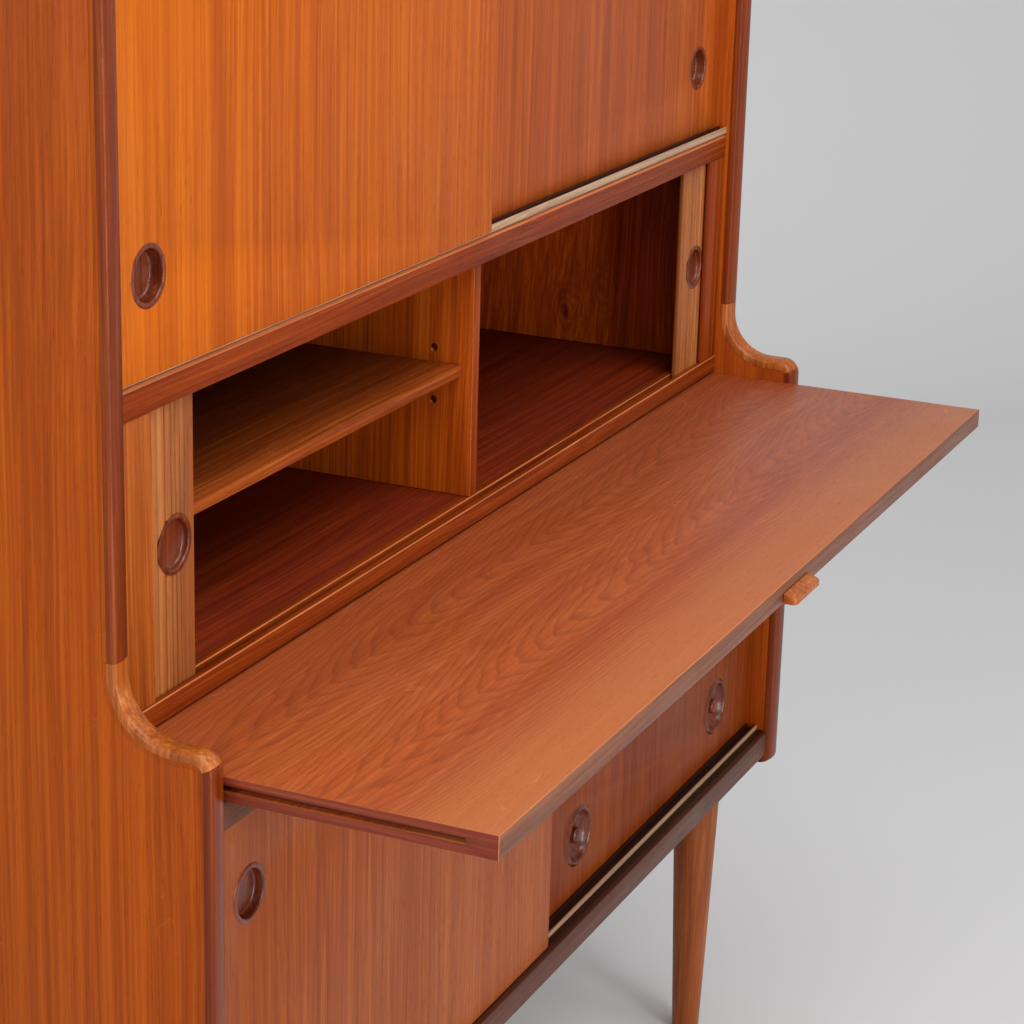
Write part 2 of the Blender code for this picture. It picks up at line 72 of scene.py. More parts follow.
# ---------------------------------------------------------------------------------------
# Studio: a long lens at standing eye height to the left of the desk, a pale paper sweep
# under and behind it, and large soft lamps overhead, at the left and in front.
CAMERA_PLACE = (-2.0234, -0.9664, 1.4557)
CAMERA_TURN = math.radians(-65.942)
CAMERA_DIP = math.radians(17.846)
CAMERA_ROLL = math.radians(1.554)
CAMERA_LENS = 95.34

camera = bpy.data.objects.new("studio_camera", bpy.data.cameras.new("studio_camera"))
camera.data.lens = CAMERA_LENS
camera.data.sensor_width = 36
camera.data.clip_end = 50
camera.matrix_world = (
    Matrix.Translation(CAMERA_PLACE)
    @ Matrix.Rotation(CAMERA_TURN, 4, "Z")
    @ Matrix.Rotation(math.pi / 2 - CAMERA_DIP, 4, "X")
    @ Matrix.Rotation(CAMERA_ROLL, 4, "Z")
)
bpy.context.scene.collection.objects.link(camera)
bpy.context.scene.camera = camera
bpy.context.scene.view_settings.view_transform = "Standard"


def linear(red, green, blue):
    """A display colour, 0 to 255, as the linear colour that a shader takes."""
    return tuple(
        c / 12.92 if c <= 0.04045 else ((c + 0.055) / 1.055) ** 2.4
        for c in (red / 255, green / 255, blue / 255)
    )


def plain_material(name, colour, roughness):
    made = bpy.data.materials.new(name)
    made.use_nodes = True
    shader = made.node_tree.nodes["Principled BSDF"]
    shader.inputs["Base Color"].default_value = (*colour, 1)
    shader.inputs["Roughness"].default_value = roughness
    return made


paper = plain_material("studio paper", linear(214, 214, 214), 0.9)
sheet = bmesh.new()
sweep_line = [(-4.0, 0.0)] + [
    (2.6 + 0.8 * math.sin(math.radians(a)), 0.8 - 0.8 * math.cos(math.radians(a)))
    for a in range(0, 91, 10)
] + [(3.4, 5.0)]
turn = Matrix.Rotation(math.radians(-50), 4, "Z")
rows = [[sheet.verts.new(turn @ Vector((x, y, z))) for x in (-7, 7)] for y, z in sweep_line]
for low, high in zip(rows, rows[1:]):
    sheet.faces.new((low[0], low[1], high[1], high[0]))
sweep_mesh = bpy.data.meshes.new("studio_paper")
sheet.to_mesh(sweep_mesh)
sheet.free()
sweep_mesh.shade_smooth()
sweep_mesh.materials.append(paper)
sweep = bpy.data.objects.new("studio_paper", sweep_mesh)
bpy.context.scene.collection.objects.link(sweep)


def lamp(name, place, target, size, power, colour=(1, 1, 1)):
    light = bpy.data.lights.new(name, "AREA")
    light.shape = "RECTANGLE"
    light.size, light.size_y = size
    light.energy = power
    light.color = colour
    made = bpy.data.objects.new(name, light)
    made.location = place
    aim = Vector(target) - Vector(place)
    made.rotation_euler = aim.to_track_quat("-Z", "Y").to_euler()
    bpy.context.scene.collection.objects.link(made)


lamp("overhead", (-0.6, -1.6, 3.6), (0, 0, 0.8), (3.2, 2.2), 82)
lamp("left_window", (-3.6, 0.4, 2.0), (0, 0, 0.9), (1.8, 2.2), 30)
lamp("front_window", (-1.5, -3.3, 1.0), (0.1, 0, 0.85), (0.9, 2.6), 66)
world = bpy.data.worlds.new("studio")
world.use_nodes = True
world.node_tree.nodes["Background"].inputs["Color"].default_value = (0.98, 0.98, 1.0, 1)
world.node_tree.nodes["Background"].inputs["Strength"].default_value = 0.5
bpy.context.scene.world = world

# ---------------------------------------------------------------------------------------
# Teak. Every board is teak, solid or veneered, oiled to a satin finish. Long streaks run
# with the grain, open pores lie in them as short dark dashes, and hands and cloths have
# left faint smudges and hair scratches.


def group_sockets(group, takes, gives):
    for name, kind, value in takes:
        socket = group.interface.new_socket(name, in_out="INPUT", socket_type=kind)
        if value is not None:
            socket.default_value = value
    for name, kind in gives:
        group.interface.new_socket(name, in_out="OUTPUT", socket_type=kind)
    return group.nodes.new("NodeGroupInput"), group.nodes.new("NodeGroupOutput")


def math_node(tree, operation, first, second=None, third=None, clamp=False):
    node = tree.nodes.new("ShaderNodeMath")
    node.operation = operation
    node.use_clamp = clamp
    for socket, value in zip(node.inputs, (first, second, third)):
        if value is None:
            continue
        if isinstance(value, (int, float)):
            socket.default_value = value
        else:
            tree.links.new(value, socket)
    return node.outputs[0]


def stretched_noise(tree, vector, seed, scale, detail=2.0, rough=0.5, distortion=0.0):
    """Noise drawn out along one axis: scale is cycles a metre along x, y and z."""
    spread = tree.nodes.new("ShaderNodeVectorMath")
    spread.operation = "MULTIPLY_ADD"
    tree.links.new(vector, spread.inputs[0])
    spread.inputs[1].default_value = scale
    tree.links.new(seed, spread.inputs[2])
    noise = tree.nodes.new("ShaderNodeTexNoise")
    noise.inputs["Scale"].default_value = 1
    noise.inputs["Detail"].default_value = detail
    noise.inputs["Roughness"].default_value = rough
    noise.inputs["Distortion"].default_value = distortion
    tree.links.new(spread.outputs[0], noise.inputs["Vector"])
    return noise.outputs["Fac"]


def spread_range(tree, value, low, high, to_low=0.0, to_high=1.0):
    node = tree.nodes.new("ShaderNodeMapRange")
    node.inputs["From Min"].default_value = low
    node.inputs["From Max"].default_value = high
    node.inputs["To Min"].default_value = to_low
    node.inputs["To Max"].default_value = to_high
    tree.links.new(value, node.inputs["Value"])
    return node.outputs["Result"]


# Cycles a metre along x, y and z, then detail and roughness.
BAND_PATTERN = ((16, 16, 0.5), 1.5, 0.5)
STREAK_PATTERN = ((120, 120, 1.6), 3.0, 0.6)
LINE_PATTERN = ((400, 400, 3.2), 3.0, 0.6)
PORE_PATTERN = ((1900, 1900, 70), 1.0)
DRIFT_PATTERN = ((6, 6, 2.2), 1.0)
SMUDGE_PATTERN = ((7, 7, 5), 3.0, 0.6)
SCRATCH_SCALES = ((34, 60, 900), (900, 45, 26))
PATCH_PATTERN = ((21, 21, 21), 1.0)


def make_grain():
    """Straight grain along z: broad bands, streaks and fine lines, with pores."""
    tree = bpy.data.node_groups.new("teak grain", "ShaderNodeTree")
    takes = [
        ("Vector", "NodeSocketVector", None),
        ("Seed", "NodeSocketFloat", 0.0),
        ("Wander", "NodeSocketFloat", 0.004),
        ("Bands", "NodeSocketFloat", 0.22),
        ("Streaks", "NodeSocketFloat", 0.35),
    ]
    gives = [(name, "NodeSocketFloat") for name in ("Tone", "Pores", "Height")]
    source, sink = group_sockets(tree, takes, gives)
    seed = tree.nodes.new("ShaderNodeCombineXYZ")
    for socket in seed.inputs:
        tree.links.new(source.outputs["Seed"], socket)
    drift = stretched_noise(tree, source.outputs["Vector"], seed.outputs[0], *DRIFT_PATTERN)
    drift = spread_range(tree, drift, 0.3, 0.7, -1.0, 1.0)
    drift = math_node(tree, "MULTIPLY", drift, source.outputs["Wander"])
    shift = tree.nodes.new("ShaderNodeCombineXYZ")
    tree.links.new(drift, shift.inputs[0])
    tree.links.new(drift, shift.inputs[1])
    bent = tree.nodes.new("ShaderNodeVectorMath")
    bent.operation = "ADD"
    tree.links.new(source.outputs["Vector"], bent.inputs[0])
    tree.links.new(shift.outputs[0], bent.inputs[1])
    place = bent.outputs[0]
    bands, streaks, lines = (
        spread_range(tree, stretched_noise(tree, place, seed.outputs[0], *pattern), 0.3, 0.7)
        for pattern in (BAND_PATTERN, STREAK_PATTERN, LINE_PATTERN)
    )
    tone = math_node(tree, "MULTIPLY", bands, source.outputs["Bands"])
    tone = math_node(tree, "MULTIPLY_ADD", streaks, source.outputs["Streaks"], tone)
    rest = math_node(tree, "SUBTRACT", 1.0, source.outputs["Bands"])
    rest = math_node(tree, "SUBTRACT", rest, source.outputs["Streaks"])
    tone = math_node(tree, "MULTIPLY_ADD", lines, rest, tone, clamp=True)
    pores = stretched_noise(tree, place, seed.outputs[0], *PORE_PATTERN)
    pores = spread_range(tree, pores, 0.60, 0.75)
    height = math_node(tree, "MULTIPLY_ADD", pores, -1.0, lines)
    tree.links.new(tone, sink.inputs["Tone"])
    tree.links.new(pores, sink.inputs["Pores"])
    tree.links.new(height, sink.inputs["Height"])
    return tree


def make_wear():
    """Marks of use: soft smudges in the sheen and thin pale scratches across the grain."""
    tree = bpy.data.node_groups.new("marks of use", "ShaderNodeTree")
    takes = [("Vector", "NodeSocketVector", None), ("Seed", "NodeSocketFloat", 0.0)]
    gives = [(name, "NodeSocketFloat") for name in ("Smudges", "Scratches")]
    source, sink = group_sockets(tree, takes, gives)
    seed = tree.nodes.new("ShaderNodeCombineXYZ")
    for socket in seed.inputs:
        tree.links.new(source.outputs["Seed"], socket)
    smudges = stretched_noise(tree, source.outputs["Vector"], seed.outputs[0], *SMUDGE_PATTERN)
    scratch = None
    for scale in SCRATCH_SCALES:
        line = stretched_noise(
            tree, source.outputs["Vector"], seed.outputs[0], scale, 0.0, 0.5, 0.35
        )
        line = math_node(tree, "ABSOLUTE", math_node(tree, "SUBTRACT", line, 0.5))
        line = spread_range(tree, line, 0.0, 0.006, 1.0, 0.0)
        scratch = line if scratch is None else math_node(tree, "MAXIMUM", scratch, line)
    patches = stretched_noise(tree, source.outputs["Vector"], seed.outputs[0], *PATCH_PATTERN)
    patches = spread_range(tree, patches, 0.60, 0.70)
    scratch = math_node(tree, "MULTIPLY", scratch, patches)
    tree.links.new(spread_range(tree, smudges, 0.3, 0.7), sink.inputs["Smudges"])
    tree.links.new(scratch, sink.inputs["Scratches"])
    return tree


def make_arches():
    """Arched figure, as where a board is cut through the heart of the growth rings."""
    tree = bpy.data.node_groups.new("arched figure", "ShaderNodeTree")
    takes = [
        ("Along", "NodeSocketFloat", 0.0),
        ("Across", "NodeSocketFloat", 0.0),
        ("Rings", "NodeSocketFloat", 28.0),
        ("Arch", "NodeSocketFloat", 8.0),
        ("Seed", "NodeSocketFloat", 0.0),
    ]
    source, sink = group_sockets(tree, takes, [("Vein", "NodeSocketFloat")])
    place = tree.nodes.new("ShaderNodeCombineXYZ")
    tree.links.new(source.outputs["Along"], place.inputs[0])
    tree.links.new(source.outputs["Across"], place.inputs[1])
    seed = tree.nodes.new("ShaderNodeCombineXYZ")
    tree.links.new(source.outputs["Seed"], seed.inputs[2])
    waver = stretched_noise(tree, place.outputs[0], seed.outputs[0], (3.2, 0.9, 1), 3.0, 0.5)
    waver = spread_range(tree, waver, 0.25, 0.75, -1.5, 1.5)
    arch = math_node(tree, "POWER", math_node(tree, "ABSOLUTE", source.outputs["Across"]), 1.6)
    rings = math_node(tree, "MULTIPLY_ADD", arch, source.outputs["Arch"], waver)
    along = math_node(tree, "MULTIPLY", source.outputs["Along"], source.outputs["Rings"])
    rings = math_node(tree, "SUBTRACT", rings, along)
    phase = math_node(tree, "FRACT", rings)
    rise = math_node(tree, "POWER", phase, 3.0)
    fall = spread_range(tree, phase, 0.92, 1.0, 1.0, 0.0)
    vein = math_node(tree, "MULTIPLY", rise, fall)
    tree.links.new(vein, sink.inputs["Vein"])
    return tree


grain_group = make_grain()
wear_group = make_wear()
arch_group = make_arches()
GRAIN_TURN = {"z": (0, 0, 0), "x": (0, math.pi / 2, 0), "y": (math.pi / 2, 0, 0)}


def colour_ramp(tree, value, stops):
    ramp = tree.nodes.new("ShaderNodeValToRGB")
    elements = ramp.color_ramp.elements
    while len(elements) < len(stops):
        elements.new(0.5)
    for element, (at, colour) in zip(elements, stops):
        element.position = at
        element.color = (*colour, 1)
    tree.links.new(value, ramp.inputs["Fac"])
    return ramp.outputs["Color"]


def mix_colour(tree, factor, first, second, blend="MIX"):
    node = tree.nodes.new("ShaderNodeMix")
    node.data_type = "RGBA"
    node.blend_type = blend
    for index, value in ((0, factor), (6, first), (7, second)):
        socket = node.inputs[index]
        if isinstance(value, (int, float)):
            socket.default_value = value
        elif isinstance(value, tuple):
            socket.default_value = (*value, 1)
        else:
            tree.links.new(value, socket)
    return node.outputs[2]


def place_group(tree, group, vector, **values):
    node = tree.nodes.new("ShaderNodeGroup")
    node.node_tree = group
    tree.links.new(vector, node.inputs["Vector"])
    for name, value in values.items():
        node.inputs[name.replace("_", " ")].default_value = value
    return node


def teak(
    name,
    colours,
    along="z",
    seed=0.0,
    wander=0.004,
    bands=0.22,
    streaks=0.33,
    sheen=(0.52, 0.38),
    gloss=0.15,
    scratches=0.25,
    figure=None,
):
    """An oiled teak surface. colours are dark, middle and light; figure may recolour it."""
    made = bpy.data.materials.new(name)
    made.use_nodes = True
    tree = made.node_tree
    shader = tree.nodes["Principled BSDF"]
    where = tree.nodes.new("ShaderNodeTexCoord")
    turned = tree.nodes.new("ShaderNodeMapping")
    turned.inputs["Rotation"].default_value = GRAIN_TURN[along]
    tree.links.new(where.outputs["Object"], turned.inputs["Vector"])
    grain = place_group(
        tree,
        grain_group,
        turned.outputs[0],
        Seed=seed,
        Wander=wander,
        Bands=bands,
        Streaks=streaks,
    )
    wear = place_group(tree, wear_group, where.outputs["Object"], Seed=seed)
    dark, middle, light = colours
    colour = colour_ramp(
        tree, grain.outputs["Tone"], [(0.12, dark), (0.5, middle), (0.88, light)]
    )
    if figure is not None:
        colour = figure(tree, where.outputs["Object"], colour)
    pore_colour = tuple(channel * 0.35 for channel in dark)
    strength = math_node(tree, "MULTIPLY", grain.outputs["Pores"], 0.35)
    colour = mix_colour(tree, strength, colour, pore_colour)
    pale = tuple(min(1.0, channel * 1.5 + 0.04) for channel in light)
    strength = math_node(tree, "MULTIPLY", wear.outputs["Scratches"], scratches)
    colour = mix_colour(tree, strength, colour, pale)
    tree.links.new(colour, shader.inputs["Base Color"])
    shader.inputs["Specular IOR Level"].default_value = gloss
    rough = spread_range(tree, wear.outputs["Smudges"], 0.0, 1.0, sheen[1], sheen[0])
    rough = math_node(tree, "MULTIPLY_ADD", grain.outputs["Pores"], 0.2, rough)
    tree.links.new(rough, shader.inputs["Roughness"])
    bump = tree.nodes.new("ShaderNodeBump")
    bump.inputs["Strength"].default_value = 0.5
    bump.inputs["Distance"].default_value = 0.00012
    tree.links.new(grain.outputs["Height"], bump.inputs["Height"])
    tree.links.new(bump.outputs[0], shader.inputs["Normal"])
    return made


def arches(tree, along, across, **values):
    """The veins of arched figure; along is in metres, across in half widths of an arch."""
    node = tree.nodes.new("ShaderNodeGroup")
    node.node_tree = arch_group
    tree.links.new(along, node.inputs["Along"])
    tree.links.new(across, node.inputs["Across"])
    for name, value in values.items():
        node.inputs[name].default_value = value
    return node.outputs["Vein"]


def axes(tree, place):
    parts = tree.nodes.new("ShaderNodeSeparateXYZ")
    tree.links.new(place, parts.inputs[0])
    return parts.outputs["X"], parts.outputs["Y"], parts.outputs["Z"]


def finish_piece(name, mesh, look, body, node=None):
    """Names a finished mesh, gives it its look and lets it ride with its body."""
    mesh.name = name
    if look is not None:
        mesh.materials.clear()
        mesh.materials.append(look)
    made = bpy.data.objects.new(name, mesh)
    bpy.context.scene.collection.objects.link(made)
    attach(made, body)
    if node is not None:
        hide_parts(node)
    return made


def applied(mesh, *modifiers):
    """A new mesh with the given modifiers, each (kind, settings), applied in order."""
    carrier = bpy.data.objects.new("carrier", mesh)
    bpy.context.scene.collection.objects.link(carrier)
    for kind, settings in modifiers:
        modifier = carrier.modifiers.new(kind, kind)
        for key, value in settings.items():
            setattr(modifier, key, value)
    graph = bpy.context.evaluated_depsgraph_get()
    graph.update()
    result = bpy.data.meshes.new_from_object(carrier.evaluated_get(graph))
    bpy.data.objects.remove(carrier)
    return result


def board_form(node):
    """A merged copy of a CAD board, its flat faces joined, ready to be worked."""
    form = bmesh.new()
    form.from_mesh(frame["nodes"][node].data)
    bmesh.ops.remove_doubles(form, verts=form.verts, dist=0.00002)
    bmesh.ops.dissolve_limit(form, angle_limit=0.02, verts=form.verts, edges=form.edges)
    mesh = bpy.data.meshes.new(node)
    form.to_mesh(mesh)
    form.free()
    return mesh


def softened(mesh, width, segments=2, angle=30):
    settings = {
        "width": width,
        "segments": segments,
        "limit_method": "ANGLE",
        "angle_limit": math.radians(angle),
        "harden_normals": False,
    }
    mesh = applied(mesh, ("BEVEL", settings))
    mesh.shade_smooth()
    mesh.set_sharp_from_angle(angle=math.radians(32))
    return mesh


def board(node, look, width=0.0006, segments=2):
    """One board of the desk with its arrises taken off."""
    body = frame["nodes"][node]["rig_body"]
    mesh = softened(board_form(node), width, segments)
    return finish_piece(node + "_board", mesh, look, body, node)


# ---------------------------------------------------------------------------------------
# Side panels: 21.5 mm boards veneered with straight teak, the grain upright. The veneer
# laps a little over the solid lipping on the outer face.
SIDE_COLOURS = (linear(130, 50, 1), linear(154, 65, 2), linear(178, 84, 8))
side_low, side_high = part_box("side_panel_left")
OUTER = -side_low.x
HALF = -side_high.x
THICK = OUTER - HALF
side_teak = teak("side teak", SIDE_COLOURS, seed=3.0)
for which in ("left", "right"):
    board("side_panel_" + which, side_teak, 0.0004)

# ---------------------------------------------------------------------------------------
# Lippings: solid hardwood glued to the front edge of each side in three lengths, two
# straight and dark and one steam-bent and paler, worked to a soft nose with a fine ridge.
DARK_COLOURS = (linear(84, 28, 3), linear(116, 44, 6), linear(148, 68, 18))
BENT_COLOURS = (linear(124, 56, 12), linear(164, 84, 26), linear(198, 122, 62))
NOSE_RADIUS = 0.0155
SWEEP_RADIUS = 0.043
LIP_DEPTH = 0.010
NOSE_JOINT = 155
FOOT_ROUND = 0.008
upper_low, upper_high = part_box("upper_lipping_left")
bent_low, bent_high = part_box("curved_lipping_left")
lower_low, lower_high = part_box("lower_lipping_left")
UPPER_FRONT = upper_low.y
LOWER_FRONT = lower_low.y
LEDGE = bent_low.z + NOSE_RADIUS
dark_teak = teak(
    "dark lipping teak", DARK_COLOURS, seed=8.0, sheen=(0.34, 0.24), gloss=0.22, scratches=0.4
)
bent_teak = teak(
    "bent lipping teak", BENT_COLOURS, seed=9.0, sheen=(0.34, 0.24), gloss=0.28, scratches=0.4
)


VENEER_EDGE = 0.0069
NOSE_SECTION = (
    (0.000, LIP_DEPTH),
    (0.000, 0.0046),
    (0.035, 0.0034),
    (0.12, 0.0023),
    (0.25, 0.0013),
    (0.42, 0.0005),
    (0.60, 0.0001),
    (0.76, 0.0000),
    (0.86, 0.0003),
    (0.93, 0.0010),
    (0.975, 0.0021),
    (1.000, 0.0036),
    (1.000, VENEER_EDGE),
    (1.000, LIP_DEPTH + 0.0002),
)


def sweep_section(path, outward, sign, wood):
    """The nose section, (share of the thickness from the inner face, depth behind the crest),
    carried along a path in the side's plane as a closed bar."""
    form = bmesh.new()
    rings = []
    for (y, z), (ny, nz) in zip(path, outward):
        rings.append(
            [
                form.verts.new((sign * (HALF + share * THICK), y - ny * depth, z - nz * depth))
                for share, depth in NOSE_SECTION
            ]
        )
    for first, second in zip(rings, rings[1:]):
        for n in range(len(first)):
            m = (n + 1) % len(first)
            face = form.faces.new((first[n], first[m], second[m], second[n]))
            face.material_index = int(n == len(first) - 2)
    form.faces.new(rings[0])
    form.faces.new(rings[-1][::-1])
    bmesh.ops.recalc_face_normals(form, faces=form.faces)
    mesh = bpy.data.meshes.new("lipping")
    form.to_mesh(mesh)
    form.free()
    mesh.shade_smooth()
    mesh.set_sharp_from_angle(angle=math.radians(38))
    mesh.materials.append(wood)
    mesh.materials.append(side_teak)
    return mesh


def nose_arc(first, last):
    """Points and outward directions round the nose, between two angles in degrees."""
    turns = [math.radians(a) for a in range(first, last - 1, -5)]
    outward = [(math.cos(a), math.sin(a)) for a in turns]
    path = [
        (LOWER_FRONT + NOSE_RADIUS * (1 + ny), LEDGE - NOSE_RADIUS * (1 - nz))
        for ny, nz in outward
    ]
    return path, outward


def curve_path():
    """The bent length: round nose, level ledge, hollow sweep, straight rise."""
    path, outward = nose_arc(NOSE_JOINT, 90)
    for a in range(270, 361, 5):
        ny, nz = math.cos(math.radians(a)), math.sin(math.radians(a))
        path.append(
            (UPPER_FRONT - SWEEP_RADIUS * (1 - ny), LEDGE + SWEEP_RADIUS * (1 + nz))
        )
        outward.append((-ny, -nz))
    path.append((UPPER_FRONT, bent_high.z))
    outward.append((-1, 0))
    return path, outward


for which, sign in (("left", -1), ("right", 1)):
    path, outward = curve_path()
    mesh = sweep_section(path, outward, sign, bent_teak)
    name = "curved_lipping_" + which
    finish_piece(name + "_nosed", mesh, None, "carcass", name)
    path = [(upper_low.y, upper_low.z), (upper_low.y, upper_high.z)]
    mesh = sweep_section(path, [(-1, 0)] * len(path), sign, dark_teak)
    name = "upper_lipping_" + which
    finish_piece(name + "_nosed", mesh, None, "carcass", name)

    # The lower length is rounded off at its foot and runs into the start of the nose.
    path = [
        (
            lower_low.y + FOOT_ROUND * (1 - math.sin(math.radians(a))),
            lower_low.z + FOOT_ROUND * (1 - math.cos(math.radians(a))),
        )
        for a in (0, 30, 60, 90)
    ] + [(lower_low.y, lower_high.z)]
    bend, bend_outward = nose_arc(175, NOSE_JOINT)
    outward = [(-1, 0)] * len(path) + bend_outward
    mesh = sweep_section(path + bend, outward, sign, dark_teak)
    name = "lower_lipping_" + which
    finish_piece(name + "_nosed", mesh, None, "carcass", name)

# ---------------------------------------------------------------------------------------
# Top board, cabinet floors and back. The boards are veneered; the back is plain plywood
# let in between the sides.
INNER_COLOURS = (linear(76, 18, 3), linear(106, 30, 5), linear(134, 48, 12))
PLY_COLOURS = (linear(150, 108, 70), linear(186, 144, 100), linear(208, 172, 128))
top_teak = teak("top teak", SIDE_COLOURS, along="x", seed=5.0)
inner_teak = teak("inner teak", INNER_COLOURS, along="x", seed=6.0, sheen=(0.6, 0.46))
upright_teak = teak("upright inner teak", INNER_COLOURS, seed=7.0, sheen=(0.6, 0.46))
back_ply = teak("back plywood", PLY_COLOURS, seed=11.0, sheen=(0.75, 0.62), scratches=0.1)
board("top_panel", top_teak, 0.0012)
board("back_panel", back_ply, 0.0005)
for node in ("upper_cabinet_floor", "lower_cabinet_top", "lower_cabinet_floor"):
    board(node, inner_teak)

# ---------------------------------------------------------------------------------------
# Rails: solid teak strips across the front. The slanting arris faces of the middle rail and the
# tambour rail carry a paler teak, a painted highlight along their upper arris.
RAIL_COLOURS = (linear(92, 30, 4), linear(130, 50, 8), linear(162, 74, 20))
LOW_RAIL_COLOURS = (linear(58, 25, 12), linear(84, 42, 24), linear(108, 60, 38))
# Painted highlight: the pale arris colour stands for light caught along eased arrises of the
# rails, the divider and the leaf.
ARRIS_HIGHLIGHT_COLOURS = (linear(150, 74, 34), linear(190, 104, 56), linear(214, 134, 84))
rail_teak = teak("rail teak", RAIL_COLOURS, along="x", seed=12.0, sheen=(0.46, 0.32), gloss=0.12)
arris_highlight_teak = teak("arris painted highlight teak", ARRIS_HIGHLIGHT_COLOURS, along="x", seed=12.0, gloss=0.3)
lower_rail_teak = teak("lower rail teak", LOW_RAIL_COLOURS, along="x", seed=13.0, gloss=0.25)


def coated(piece, look, chosen):
    """Gives a second look to the faces that chosen(face) picks."""
    piece.data.materials.append(look)
    for face in piece.data.polygons:
        if chosen(face):
            face.material_index = len(piece.data.materials) - 1
    return piece


def slanting_forward(face):
    return face.normal.y < -0.25 and face.normal.z > 0.25


coated(board("middle_rail", rail_teak, 0.0006), arris_highlight_teak, slanting_forward)
coated(board("tambour_rail", rail_teak, 0.0008), arris_highlight_teak, slanting_forward)
board("lower_top_rail", lower_rail_teak, 0.0008)
board("lower_bottom_rail", lower_rail_teak, 0.0008)

# ---------------------------------------------------------------------------------------
# Door tracks: hardwood strips with thin pale ridges along their front. The grooves and the strip
# behind the ridges are coloured near-black, painted shade for the shadow in the door gaps.
TRACK_COLOURS = (linear(126, 92, 66), linear(172, 138, 106), linear(206, 176, 146))
# Painted shade: the near-black track colour stands for the shadow in the grooves and behind the
# ridges.
TRACK_SHADE_COLOURS = (linear(28, 9, 3), linear(50, 19, 7), linear(76, 34, 14))
track_wood = teak("track wood", TRACK_COLOURS, along="x", seed=14.0, sheen=(0.4, 0.3), gloss=0.4)
track_shade_wood = teak("track wood painted shade", TRACK_SHADE_COLOURS, along="x", seed=15.0, gloss=0.2)
upper_ridge_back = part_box("upper_door_track")[0].y + 0.0022
track_low, track_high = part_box("lower_door_track")
lower_floor = track_low.z + 0.0026
lower_ridge_back = track_high.y - 0.0056
coated(
    board("upper_door_track", track_shade_wood, 0.0003),
    track_wood,
    lambda face: face.center.y < upper_ridge_back,
)
coated(
    board("lower_door_track", track_shade_wood, 0.0003),
    track_wood,
    lambda face: face.center.z > lower_floor and face.center.y < lower_ridge_back,
)

# ---------------------------------------------------------------------------------------
# Writing compartment: veneered floor, back, liners and divider, a loose shelf and two
# stiles that hide the ends of the shutters. The divider is bored for the shelf's pins, and
# the right liner is cut from knotty veneer.
LINER_COLOURS = (linear(124, 46, 4), linear(170, 72, 8), linear(204, 100, 22))
SHELF_COLOURS = (linear(98, 40, 10), linear(136, 60, 16), linear(172, 88, 32))
STILE_COLOURS = (linear(118, 52, 10), linear(152, 72, 14), linear(184, 100, 34))
STILE_OVERLAP = 0.0065
KNOT_COLOUR = linear(52, 20, 6)
RIPPLES = 620.0
PIN_RADIUS = 0.0036
PIN_FROM_FRONT = 0.0371
PIN_DEPTH = 0.008
PIN_HEIGHTS = (0.1484, 0.1021)
KNOTTY_COLOURS = (linear(112, 36, 6), linear(160, 62, 10), linear(200, 94, 24))
# Painted shade: the stored slats behind the liners are coloured near-black for the shadow they lie
# in.
STORED_SHADE_COLOURS = (linear(12, 4, 2), linear(22, 8, 4), linear(34, 14, 7))
KNOTS = ((0.129, 0.777, 0.0100, 0.85), (0.089, 0.808, 0.0080, 0.0))


def knots(tree, place, colour):
    """Dark eyes with oval rings round them, in the plane of a side wall."""
    across, up = axes(tree, place)[1:]
    still = tree.nodes.new("ShaderNodeCombineXYZ").outputs[0]
    uneven = stretched_noise(tree, place, still, (55, 55, 38), 2.0)
    uneven = spread_range(tree, uneven, 0.3, 0.7, -0.006, 0.006)
    for y, z, size, darkness in KNOTS:
        dy = math_node(tree, "MULTIPLY", math_node(tree, "SUBTRACT", across, y), 1.5)
        dz = math_node(tree, "SUBTRACT", up, z)
        reach = math_node(tree, "MULTIPLY", dz, dz)
        reach = math_node(tree, "ADD", math_node(tree, "MULTIPLY", dy, dy), reach)
        reach = math_node(tree, "SQRT", reach)
        reach = math_node(tree, "ADD", reach, uneven)
        ripple = math_node(tree, "SINE", math_node(tree, "MULTIPLY", reach, RIPPLES))
        fade = spread_range(tree, reach, size * 0.6, size * 6.0, 0.5, 0.0)
        ring = math_node(tree, "MULTIPLY", spread_range(tree, ripple, -1.0, 1.0), fade)
        colour = mix_colour(tree, ring, colour, KNOTTY_COLOURS[0])
        eye = spread_range(tree, reach, 0.0, size * 0.9, darkness, 0.0)
        colour = mix_colour(tree, eye, colour, KNOT_COLOUR)
    return colour


knotty_teak = teak(
    "knotty liner teak", KNOTTY_COLOURS, seed=16.0, wander=0.012, sheen=(0.5, 0.4), figure=knots
)
liner_teak = teak("liner teak", LINER_COLOURS, seed=18.0, sheen=(0.55, 0.4))
stile_teak = teak("stile teak", STILE_COLOURS, seed=19.0, sheen=(0.5, 0.4), gloss=0.2)
dark_stile_teak = teak("dark stile teak", RAIL_COLOURS, seed=22.0, sheen=(0.5, 0.4), gloss=0.12)
stored_shade_teak = teak("stored slat painted shade teak", STORED_SHADE_COLOURS, seed=23.0, sheen=(0.7, 0.6), gloss=0.05)
shelf_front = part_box("compartment_shelf")[0].y


def shaded_shelf(tree, place, colour):
    """Painted shade: the shelf darkens from its front towards the back, standing in for the shadow
    deep in the compartment.
    """
    depth = axes(tree, place)[1]
    painted_shelf_shade = spread_range(tree, depth, shelf_front + 0.004, shelf_front + 0.150, 0.0, 0.8)
    return mix_colour(tree, painted_shelf_shade, colour, linear(52, 12, 3))


